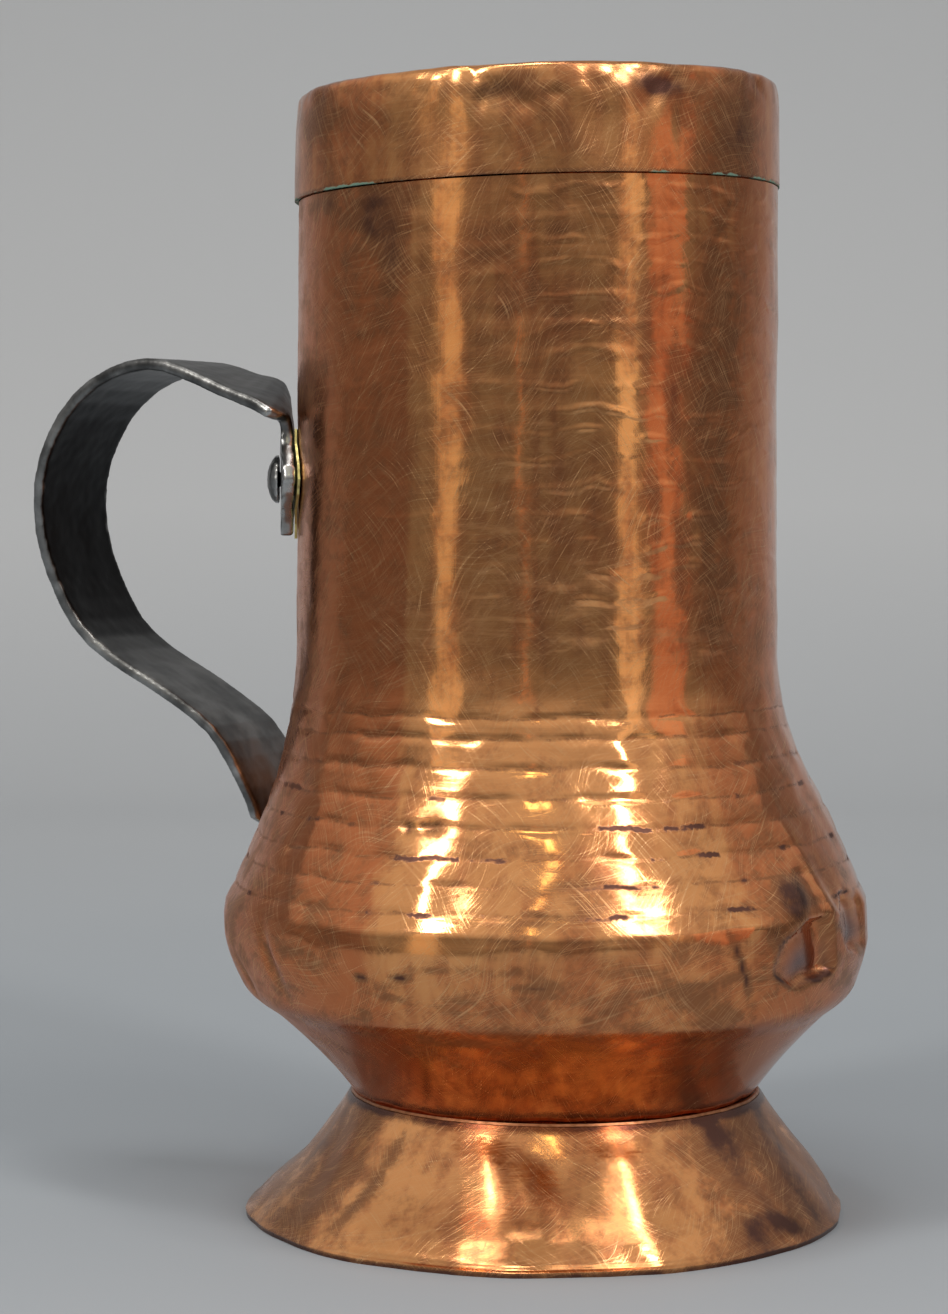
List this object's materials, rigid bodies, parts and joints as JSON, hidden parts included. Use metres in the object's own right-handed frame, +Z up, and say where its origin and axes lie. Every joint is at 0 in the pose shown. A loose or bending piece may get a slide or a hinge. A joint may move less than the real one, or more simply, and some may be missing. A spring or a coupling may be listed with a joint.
{
  "type": "chocolate pot",
  "caption": "Raised copper chocolate pot on a flared foot, with a bell shoulder, a straight neck, a deep cap lid and a riveted iron strap handle.",
  "frame": {"origin": "on the table, under the middle of the outline that the pot and its handle fill together; the pot's own axis stands about 22 mm from it towards +X", "axes": "+Z up along the pot, -X towards the upper rivet of the handle, +Y away from the picture's camera"},
  "size_m": [0.188, 0.1432, 0.2519],
  "materials": {
    "copper": "hand-hammered copper sheet, worn and tarnished brown in the hollows",
    "iron": "forged iron, dark scale, rubbed bright along the edges",
    "shim_brass": "thin yellow brass, dull",
    "solder": "dull hard solder"
  },
  "bodies": {
    "pot": {"body_wall": "copper", "body_bottom": "copper", "foot": "copper", "waist_solder": "solder", "handle_strap": "iron", "upper_handle_pad": "shim_brass", "lower_handle_pad": "shim_brass", "upper_handle_rivet": "iron", "lower_handle_rivet": "iron"},
    "lid": {"lid": "copper"}
  },
  "joints": [
    {"name": "lid_lift", "type": "slide", "parent": "pot", "child": "lid", "axis": [0, 0, 1], "range_m": [0, 0.06]}
  ]
}
